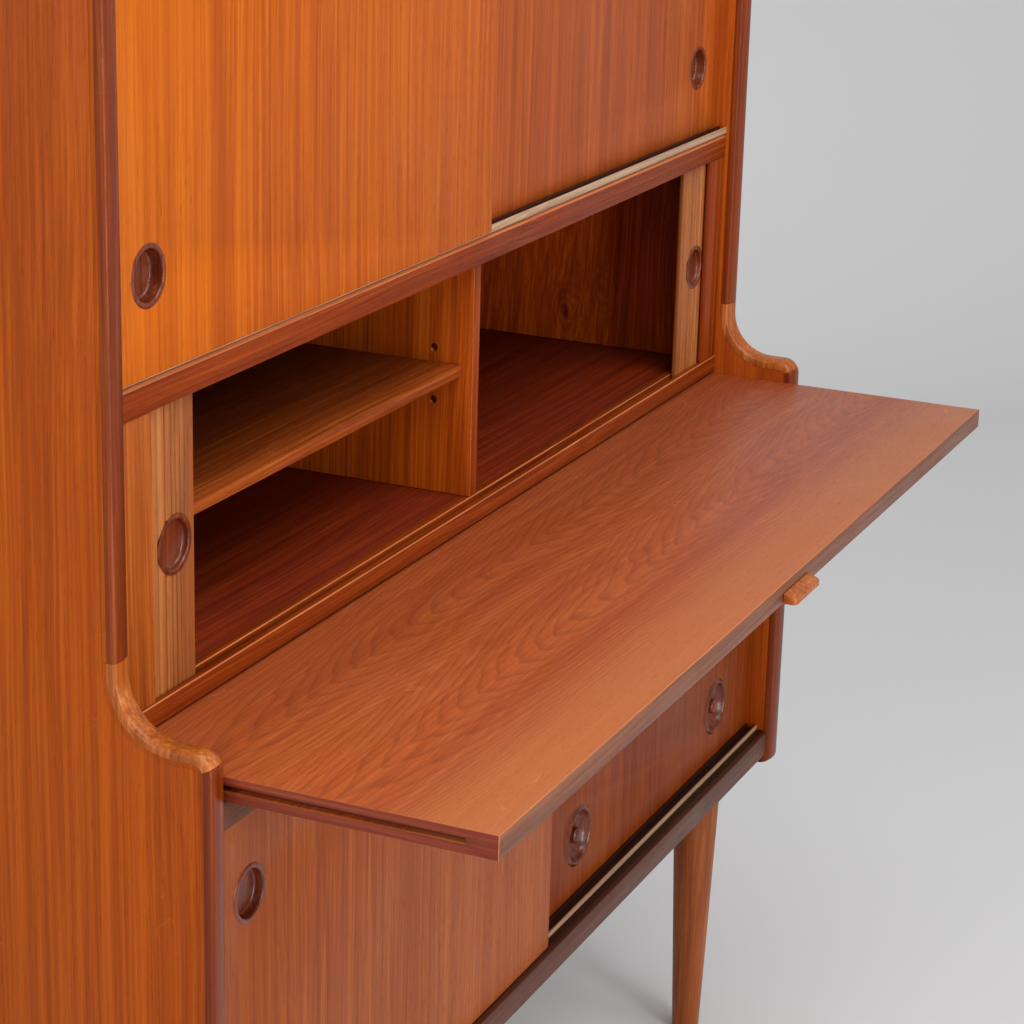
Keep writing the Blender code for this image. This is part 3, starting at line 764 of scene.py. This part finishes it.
shelf_teak = teak(
    "shelf teak",
    SHELF_COLOURS,
    along="x",
    seed=20.0,
    sheen=(0.5, 0.4),
    gloss=0.12,
    figure=shaded_shelf,
)
board("compartment_floor", inner_teak)
board("compartment_back", liner_teak)
board("compartment_shelf", shelf_teak, 0.0008)
board("compartment_liner_left", liner_teak)
board("compartment_liner_right", knotty_teak)
board("tambour_stile_right", dark_stile_teak, 0.0008)
stile = board("tambour_stile_left", stile_teak, 0.0008)
stile_low, stile_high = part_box("tambour_stile_left")
for vertex in stile.data.vertices:
    if vertex.co.x > (stile_low.x + stile_high.x) / 2:
        vertex.co.x += STILE_OVERLAP


def rod(name, radius, start, end, steps=24):
    """A plain cylinder along x, between two points, to bore with."""
    form = bmesh.new()
    length = end[0] - start[0]
    bmesh.ops.create_cone(
        form, segments=steps, radius1=radius, radius2=radius, depth=length, cap_ends=True
    )
    bmesh.ops.rotate(form, matrix=Matrix.Rotation(math.pi / 2, 3, "Y"), verts=form.verts)
    bmesh.ops.translate(form, vec=(Vector(start) + Vector(end)) / 2, verts=form.verts)
    mesh = bpy.data.meshes.new(name)
    form.to_mesh(mesh)
    form.free()
    made = bpy.data.objects.new(name, mesh)
    bpy.context.scene.collection.objects.link(made)
    return made


def bored(mesh, *bores):
    """The mesh with each bore cut out of it."""
    settings = {"operation": "DIFFERENCE", "solver": "EXACT"}
    return applied(mesh, *[("BOOLEAN", {**settings, "object": bore}) for bore in bores])


divider_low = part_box("compartment_divider")[0]
leaf_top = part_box("writing_leaf")[1].z
bores = []
for n, height in enumerate(PIN_HEIGHTS):
    y, z = divider_low.y + PIN_FROM_FRONT, leaf_top + height
    start, end = divider_low.x - 0.002, divider_low.x + PIN_DEPTH
    bores.append(rod("pin_bore_%d" % n, PIN_RADIUS, (start, y, z), (end, y, z)))
divider = bored(softened(board_form("compartment_divider"), 0.0006), *bores)
divider = finish_piece(
    "compartment_divider_board", divider, liner_teak, "carcass", "compartment_divider"
)
coated(divider, dark_stile_teak, lambda face: face.normal.y < -0.9)
# Painted highlight on the divider's eased front arrises.
coated(divider, arris_highlight_teak, lambda face: -0.9 <= face.normal.y < -0.25)
for bore in bores:
    bpy.data.objects.remove(bore)

# ---------------------------------------------------------------------------------------
# Round pulls: turned in dark wood, polished, pressed into the doors and lead slats. Each
# has a raised ring round a flat-bottomed cup.
PULL_COLOURS = (linear(66, 22, 5), linear(102, 38, 10), linear(138, 62, 22))
THIN_PULL = 0.007
pull_wood = teak(
    "pull wood", PULL_COLOURS, seed=21.0, sheen=(0.28, 0.17), gloss=0.45, scratches=0.5
)


def turned_piece(section, centre, front, steps=56):
    """A shape turned about y: section is (radius, rise) from the front of the axis back."""
    form = bmesh.new()
    rings = []
    for radius, rise in section:
        if radius == 0:
            rings.append([form.verts.new((centre[0], front - rise, centre[1]))])
            continue
        rings.append([])
        for n in range(steps):
            a = 2 * math.pi * n / steps
            x, z = centre[0] + radius * math.cos(a), centre[1] + radius * math.sin(a)
            rings[-1].append(form.verts.new((x, front - rise, z)))
    for first, second in zip(rings, rings[1:]):
        for n in range(steps):
            m = (n + 1) % steps
            corners = [first[n % len(first)], first[m % len(first)]]
            corners += [second[m % len(second)], second[n % len(second)]]
            form.faces.new(dict.fromkeys(corners))
    bmesh.ops.recalc_face_normals(form, faces=form.faces)
    mesh = bpy.data.meshes.new("turned")
    form.to_mesh(mesh)
    form.free()
    mesh.shade_smooth()
    mesh.set_sharp_from_angle(angle=math.radians(50))
    return mesh


def centre_of(node):
    low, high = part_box(node)
    return (low + high) / 2, low, high


def cup_pull(node, depth):
    """A cup pull in the place of its CAD node; depth is from the ring's crest to the floor."""
    middle, low, high = centre_of(node)
    rim = (high.x - low.x) / 2
    inside = rim * 0.80
    back = low.y - high.y
    section = [
        (0, -depth),
        (inside - 0.0022, -depth),
        (inside - 0.0008, -depth + 0.0005),
        (inside, -depth + 0.0018),
        (inside, -0.0014),
        (inside + 0.0004, -0.0005),
        (inside + 0.0012, 0),
        (inside + 0.0022, -0.00005),
        (rim - 0.0014, -0.0003),
        (rim - 0.0004, -0.0006),
        (rim, -0.0010 if high.y - low.y > THIN_PULL else -0.0004),
        (rim - 0.0034, back + 0.0002),
        (0, back + 0.0002),
    ]
    mesh = turned_piece(section, (middle.x, middle.z), low.y)
    body = frame["nodes"][node]["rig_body"]
    finish_piece(node + "_turned", mesh, pull_wood, body, node)


cup_pull("upper_left_door_pull", 0.0108)
cup_pull("upper_right_door_pull", 0.0108)
cup_pull("lower_left_door_pull", 0.0076)
cup_pull("lower_right_door_pull", 0.0074)
cup_pull("tambour_left_pull", 0.0052)
cup_pull("tambour_right_pull", 0.0052)

# ---------------------------------------------------------------------------------------
# Sliding doors: veneered panels with the grain upright, golden above and browner below. The
# upper left door has a redder stripe, and the lower doors a faint crown of arched figure.
GOLD_COLOURS = (linear(152, 62, 1), linear(178, 82, 3), linear(202, 106, 12))
RED_COLOURS = (linear(130, 52, 8), linear(158, 70, 14), linear(182, 92, 28))
LOWER_COLOURS = (linear(126, 54, 14), linear(154, 73, 22), linear(178, 94, 36))
STRIPE_MIDDLE = -0.441


def dark_stripe(tree, place, colour):
    """A redder stripe where two leaves of the veneer meet, paler to the left of it."""
    across = axes(tree, place)[0]
    away = math_node(tree, "ABSOLUTE", math_node(tree, "SUBTRACT", across, STRIPE_MIDDLE))
    stripe = spread_range(tree, away, 0.004, 0.016, 0.55, 0.0)
    colour = mix_colour(tree, stripe, colour, GOLD_COLOURS[0])
    paler = spread_range(tree, across, STRIPE_MIDDLE - 0.007, STRIPE_MIDDLE - 0.015, 0.0, 0.22)
    return mix_colour(tree, paler, colour, GOLD_COLOURS[2])


def crown(tree, place, colour):
    """Two faint upright crowns of arched figure, one towards each end of the board."""
    across, _, up = axes(tree, place)
    wide = math_node(tree, "PINGPONG", math_node(tree, "ADD", across, 0.05), 0.29)
    wide = math_node(tree, "MULTIPLY", math_node(tree, "SUBTRACT", wide, 0.16), 22.0)
    vein = arches(tree, up, wide, Rings=11.0, Arch=4.0, Seed=5.0)
    near = spread_range(tree, math_node(tree, "ABSOLUTE", wide), 1.0, 2.4, 0.42, 0.0)
    return mix_colour(tree, math_node(tree, "MULTIPLY", vein, near), colour, LOWER_COLOURS[0])


left_door_teak = teak("upper left door teak", GOLD_COLOURS, seed=31.0, figure=dark_stripe)
board("upper_left_door", left_door_teak, 0.0008)
right_door_teak = teak("upper right door teak", RED_COLOURS, seed=32.0, gloss=0.3)
board("upper_right_door", right_door_teak, 0.0008)
lower_door_teak = teak("lower door teak", LOWER_COLOURS, seed=33.0, gloss=0.15, figure=crown)
board("lower_left_door", lower_door_teak, 0.0008)
board("lower_right_door", lower_door_teak, 0.0008)

# ---------------------------------------------------------------------------------------
# Writing leaf: a board veneered with flamed teak, lipped in front, grooved in both ends
# for its runners, and a shaped finger tab let into the front edge.
LEAF_COLOURS = (linear(126, 52, 18), linear(156, 74, 29), linear(184, 100, 48))
TAN_COLOUR = linear(180, 103, 52)
EDGE_COLOURS = (linear(82, 40, 24), linear(112, 63, 40), linear(140, 88, 60))
LAYER_COLOURS = (linear(84, 26, 12), linear(118, 42, 20), linear(150, 66, 34))
FLAME_COLOUR = linear(178, 78, 30)
VEIN_COLOUR = linear(104, 44, 20)
LEAF_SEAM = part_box("writing_leaf")[1].y - 0.2525
ARCH_CENTRE = 0.050
ARCH_HALF = 0.052


def flame(tree, place, colour):
    """Two matched leaves of arched figure either side of a seam, running out to straight
    paler grain along the front edge."""
    along, across = axes(tree, place)[:2]
    off_seam = math_node(tree, "ABSOLUTE", math_node(tree, "SUBTRACT", across, LEAF_SEAM))
    wide = math_node(tree, "SUBTRACT", off_seam, ARCH_CENTRE)
    wide = math_node(tree, "DIVIDE", wide, ARCH_HALF)
    vein = arches(tree, along, wide, Rings=24.0, Arch=7.0, Seed=4.0)
    fine = arches(tree, along, wide, Rings=60.0, Arch=19.0, Seed=4.0)
    near = spread_range(tree, math_node(tree, "ABSOLUTE", wide), 0.9, 2.0, 1.0, 0.25)
    glow = math_node(tree, "MULTIPLY", near, 0.35)
    colour = mix_colour(tree, glow, colour, FLAME_COLOUR)
    front = spread_range(tree, across, LEAF_SEAM - 0.080, LEAF_SEAM - 0.125, 0.0, 0.75)
    colour = mix_colour(tree, front, colour, TAN_COLOUR)
    for line, strength in ((vein, 0.5), (fine, 0.16)):
        line = math_node(tree, "MULTIPLY", line, near)
        line = math_node(tree, "MULTIPLY", line, strength)
        colour = mix_colour(tree, line, colour, VEIN_COLOUR)
    return colour


leaf_teak = teak(
    "flamed leaf teak",
    LEAF_COLOURS,
    along="x",
    seed=41.0,
    wander=0.01,
    gloss=0.5,
    sheen=(0.5, 0.4),
    figure=flame,
    scratches=0.6,
)
edge_teak = teak("leaf edge teak", EDGE_COLOURS, along="x", seed=42.0, gloss=0.4)
layer_teak = teak("leaf end teak", LAYER_COLOURS, along="y", seed=43.0, gloss=0.3)
leaf = board("writing_leaf", leaf_teak, 0.0007)
coated(leaf, edge_teak, lambda face: face.normal.y < -0.8)
coated(leaf, layer_teak, lambda face: abs(face.normal.x) > 0.8)
# Painted highlight on the leaf's eased front arris.
coated(leaf, arris_highlight_teak, lambda face: -0.8 <= face.normal.y < -0.25)
board("leaf_finger_tab", bent_teak, 0.0008, 3)
for which in ("left", "right"):
    board("leaf_runner_" + which, lower_rail_teak, 0.0003)

# ---------------------------------------------------------------------------------------
# Tambour shutters: a wide reeded lead slat with a pull, followed by narrow slats that run in
# grooves round the corner and are stored behind the liners.
TAMBOUR_COLOURS = (linear(108, 50, 16), linear(150, 82, 34), linear(186, 116, 58))
LEAD_REEDS = (0.0104, 0.0078, 0.0104, 0.0078, 0.0058, 0.0058, 0.0065, 0.0125)
REED_GAP = 0.0009
SLAT_PITCH = 0.0140
SLAT_COUNT = 36
STORED_BESIDE = 20
STORED_BEHIND = 11
STORED_START = 0.550
SLAT_SHARE = 0.97
REED_EASING = 0.28
FOLD_EDGE = 0.5605
SEAT_RADIUS = 0.0192
tambour_teak = teak(
    "tambour teak", TAMBOUR_COLOURS, seed=51.0, bands=0.5, sheen=(0.5, 0.4), gloss=0.3
)


def make_slats():
    """Geometry nodes: an upright slat with eased corners on every point, as wide and as
    turned as the point's attributes say."""
    tree = bpy.data.node_groups.new("upright slats", "GeometryNodeTree")
    tree.interface.new_socket("Geometry", in_out="INPUT", socket_type="NodeSocketGeometry")
    for name, kind, value in (
        ("Thickness", "NodeSocketFloat", 0.006),
        ("Height", "NodeSocketFloat", 0.2),
        ("Easing", "NodeSocketFloat", 0.2),
    ):
        socket = tree.interface.new_socket(name, in_out="INPUT", socket_type=kind)
        socket.default_value = value
    tree.interface.new_socket("Look", in_out="INPUT", socket_type="NodeSocketMaterial")
    tree.interface.new_socket("Geometry", in_out="OUTPUT", socket_type="NodeSocketGeometry")
    add, link = tree.nodes.new, tree.links.new
    source, sink = add("NodeGroupInput"), add("NodeGroupOutput")
    outline = add("GeometryNodeCurvePrimitiveQuadrilateral")
    outline.inputs["Width"].default_value = 1
    outline.inputs["Height"].default_value = 1
    eased = add("GeometryNodeFilletCurve")
    eased.mode = "POLY"
    eased.inputs["Count"].default_value = 3
    link(outline.outputs[0], eased.inputs["Curve"])
    link(source.outputs["Easing"], eased.inputs["Radius"])
    end = add("GeometryNodeFillCurve")
    end.mode = "NGONS"
    link(eased.outputs[0], end.inputs["Curve"])
    rise = add("GeometryNodeExtrudeMesh")
    rise.inputs["Offset"].default_value = (0, 0, 1)
    rise.inputs["Individual"].default_value = False
    link(end.outputs[0], rise.inputs["Mesh"])
    under = add("GeometryNodeFlipFaces")
    link(end.outputs[0], under.inputs[0])
    solid = add("GeometryNodeJoinGeometry")
    link(rise.outputs["Mesh"], solid.inputs[0])
    link(under.outputs[0], solid.inputs[0])
    merged = add("GeometryNodeMergeByDistance")
    link(solid.outputs[0], merged.inputs[0])
    width, turn = add("GeometryNodeInputNamedAttribute"), add("GeometryNodeInputNamedAttribute")
    for node, name in ((width, "slat_width"), (turn, "slat_turn")):
        node.data_type = "FLOAT"
        node.inputs["Name"].default_value = name
    size, angle = add("ShaderNodeCombineXYZ"), add("ShaderNodeCombineXYZ")
    link(width.outputs["Attribute"], size.inputs[0])
    link(source.outputs["Thickness"], size.inputs[1])
    link(source.outputs["Height"], size.inputs[2])
    link(turn.outputs["Attribute"], angle.inputs[2])
    placed = add("GeometryNodeInstanceOnPoints")
    link(source.outputs["Geometry"], placed.inputs["Points"])
    link(merged.outputs[0], placed.inputs["Instance"])
    link(angle.outputs[0], placed.inputs["Rotation"])
    link(size.outputs[0], placed.inputs["Scale"])
    real = add("GeometryNodeRealizeInstances")
    link(placed.outputs[0], real.inputs[0])
    look = add("GeometryNodeSetMaterial")
    link(real.outputs[0], look.inputs["Geometry"])
    link(source.outputs["Look"], look.inputs["Material"])
    link(look.outputs[0], sink.inputs[0])
    return tree


slats_tree = make_slats()
SLAT_INPUTS = {
    item.name: item.identifier
    for item in slats_tree.interface.items_tree
    if item.in_out == "INPUT"
}


def slats(points, thickness, height, easing=0.2):
    """A plain mesh of slats; points are (x, y, z, width, turn) at the foot of each slat."""
    mesh = bpy.data.meshes.new("slat points")
    mesh.from_pydata([p[:3] for p in points], [], [])
    for name, index in (("slat_width", 3), ("slat_turn", 4)):
        mesh.attributes.new(name, "FLOAT", "POINT").data.foreach_set(
            "value", [p[index] for p in points]
        )
    carrier = bpy.data.objects.new("slat carrier", mesh)
    bpy.context.scene.collection.objects.link(carrier)
    modifier = carrier.modifiers.new("slats", "NODES")
    modifier.node_group = slats_tree
    modifier[SLAT_INPUTS["Thickness"]] = thickness
    modifier[SLAT_INPUTS["Height"]] = height
    modifier[SLAT_INPUTS["Easing"]] = easing
    modifier[SLAT_INPUTS["Look"]] = tambour_teak
    graph = bpy.context.evaluated_depsgraph_get()
    graph.update()
    made = bpy.data.meshes.new_from_object(carrier.evaluated_get(graph))
    carrier.modifiers.remove(modifier)
    bpy.data.objects.remove(carrier)
    form = bmesh.new()
    form.from_mesh(made)
    bmesh.ops.recalc_face_normals(form, faces=form.faces)
    form.to_mesh(made)
    form.free()
    made.shade_smooth()
    made.set_sharp_from_angle(angle=math.radians(50))
    return made


for which, sign in (("left", -1), ("right", 1)):
    body = "tambour_" + which
    middle, low, high = centre_of(body + "_lead")
    thickness, height = high.y - low.y, high.z - low.z
    points, edge = [], low.x
    for width in LEAD_REEDS:
        points.append((edge + width / 2, middle.y, low.z, width - REED_GAP, 0))
        edge += width
    lead = slats(points, thickness, height, REED_EASING)
    seat = centre_of(body + "_pull")[0]
    bore = rod("seat_bore", SEAT_RADIUS, (seat.x - 0.01, 0, 0), (seat.x + 0.01, 0, 0), 48)
    bore.data.transform(
        Matrix.Translation((seat.x, middle.y, seat.z))
        @ Matrix.Rotation(math.pi / 2, 4, "Z")
        @ Matrix.Translation((-seat.x, 0, 0))
    )
    lead = bored(lead, bore)
    bpy.data.objects.remove(bore)
    finish_piece(body + "_lead_reeded", lead, tambour_teak, body, body + "_lead")

    # The drawn curtain lies folded behind the stile when open and draws out to even slats.
    start = sign * FOLD_EDGE
    end = low.x if sign < 0 else high.x
    curtain_low, curtain_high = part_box(body + "_curtain")
    shares = [
        0.5 - math.sin(math.asin(1 - 2 * n / SLAT_COUNT) / 3) for n in range(SLAT_COUNT + 1)
    ]
    joints = [start + (end - start) * share for share in shares]
    points = [
        ((first + second) / 2, middle.y, low.z, abs(second - first) * SLAT_SHARE, 0)
        for first, second in zip(joints, joints[1:])
    ]
    drawn = bpy.data.objects.new(body + "_curtain_drawn", slats(points, thickness, height))
    bpy.context.scene.collection.objects.link(drawn)
    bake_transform(drawn)
    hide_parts(body + "_curtain")

    # Of the stored curtain, the first slats stand beside the liner and the rest behind it.
    beside = sign * (abs(curtain_low.x if sign < 0 else curtain_high.x) - thickness / 2)
    behind = curtain_high.y - thickness / 2
    width = SLAT_PITCH * SLAT_SHARE
    points = [
        (beside, curtain_low.y + SLAT_PITCH * (n + 0.5), curtain_low.z, width, math.pi / 2)
        for n in range(STORED_BESIDE)
    ] + [
        (sign * (STORED_START - SLAT_PITCH * n), behind, curtain_low.z, width, 0)
        for n in range(STORED_BEHIND)
    ]
    stored = slats(points, thickness, curtain_high.z - curtain_low.z)
    # The stored slats get the near-black painted shade colour.
    finish_piece(body + "_curtain_stored", stored, stored_shade_teak, "carcass")

# ---------------------------------------------------------------------------------------
# Drawers, their partition and filler: veneered fronts on plain boxes, with wide turned
# dish pulls that have a button in the middle.
DRAWER_COLOURS = (linear(100, 36, 4), linear(127, 53, 9), linear(152, 72, 20))
BOX_COLOURS = (linear(176, 140, 98), linear(206, 174, 130), linear(222, 196, 158))
FRONT_THICKNESS = 0.012
drawer_teak = teak("drawer teak", DRAWER_COLOURS, seed=61.0, gloss=0.12, figure=crown)
box_wood = teak("drawer box wood", BOX_COLOURS, along="y", seed=62.0, sheen=(0.7, 0.6))
board("drawer_filler_right", drawer_teak, 0.0006)
board("lower_partition", upright_teak, 0.0006)
for level in ("bottom", "middle", "top"):
    drawer = board("drawer_" + level, drawer_teak, 0.0006)
    drawer.data.materials.append(box_wood)
    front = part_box("drawer_" + level)[0].y
    for face in drawer.data.polygons:
        if face.center.y > front + FRONT_THICKNESS:
            face.material_index = 1


def dish_pull(node):
    """A dish with a raised ring, a hollow round it and a button standing in the middle."""
    middle, low, high = centre_of(node)
    rim = (high.x - low.x) / 2
    back = low.y - high.y
    section = [
        (0, -0.0003),
        (0.0030, -0.0005),
        (0.0058, -0.0013),
        (0.0077, -0.0028),
        (0.0082, -0.0044),
        (0.0074, -0.0078),
        (0.0080, -0.0100),
        (0.0110, -0.0110),
        (0.0160, -0.0102),
        (0.0200, -0.0082),
        (0.0230, -0.0050),
        (0.0246, -0.0020),
        (0.0254, -0.0006),
        (0.0262, 0),
        (0.0270, -0.0001),
        (0.0276, -0.0007),
        (0.0284, -0.0010),
        (rim - 0.0007, -0.0018),
        (rim, -0.0024),
        (rim - 0.0034, back + 0.0002),
        (0, back + 0.0002),
    ]
    mesh = turned_piece(section, (middle.x, middle.z), low.y, 64)
    body = frame["nodes"][node]["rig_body"]
    finish_piece(node + "_turned", mesh, pull_wood, body, node)


for level in ("bottom", "middle", "top"):
    for which in ("left", "right"):
        dish_pull("drawer_" + level + "_pull_" + which)

# ---------------------------------------------------------------------------------------
# Legs: four round legs of solid teak, tapered all the way down to the floor, with the edge
# of each foot eased.
LEG_COLOURS = (linear(104, 46, 14), linear(138, 69, 25), linear(168, 92, 42))
FOOT_RADIUS = 0.0144
LEG_STEPS = 8
leg_teak = teak("leg teak", LEG_COLOURS, seed=71.0, sheen=(0.46, 0.34), gloss=0.25)
for end in ("front", "rear"):
    for which in ("left", "right"):
        node = "leg_" + end + "_" + which
        middle, low, high = centre_of(node)
        top, height = (high.x - low.x) / 2, high.z - low.z
        taper = [
            (FOOT_RADIUS + (top - FOOT_RADIUS) * n / LEG_STEPS, height * n / LEG_STEPS)
            for n in range(1, LEG_STEPS + 1)
        ]
        profile = [
            (0, 0),
            (FOOT_RADIUS - 0.0015, 0),
            (FOOT_RADIUS - 0.0004, 0.0004),
            (FOOT_RADIUS, 0.0015),
            *taper,
            (0, height),
        ]
        mesh = turned_piece(profile, (0, 0), 0, 48)
        mesh.transform(
            Matrix.Translation((middle.x, middle.y, low.z)) @ Matrix.Rotation(-math.pi / 2, 4, "X")
        )
        finish_piece(node + "_turned", mesh, leg_teak, "carcass", node)
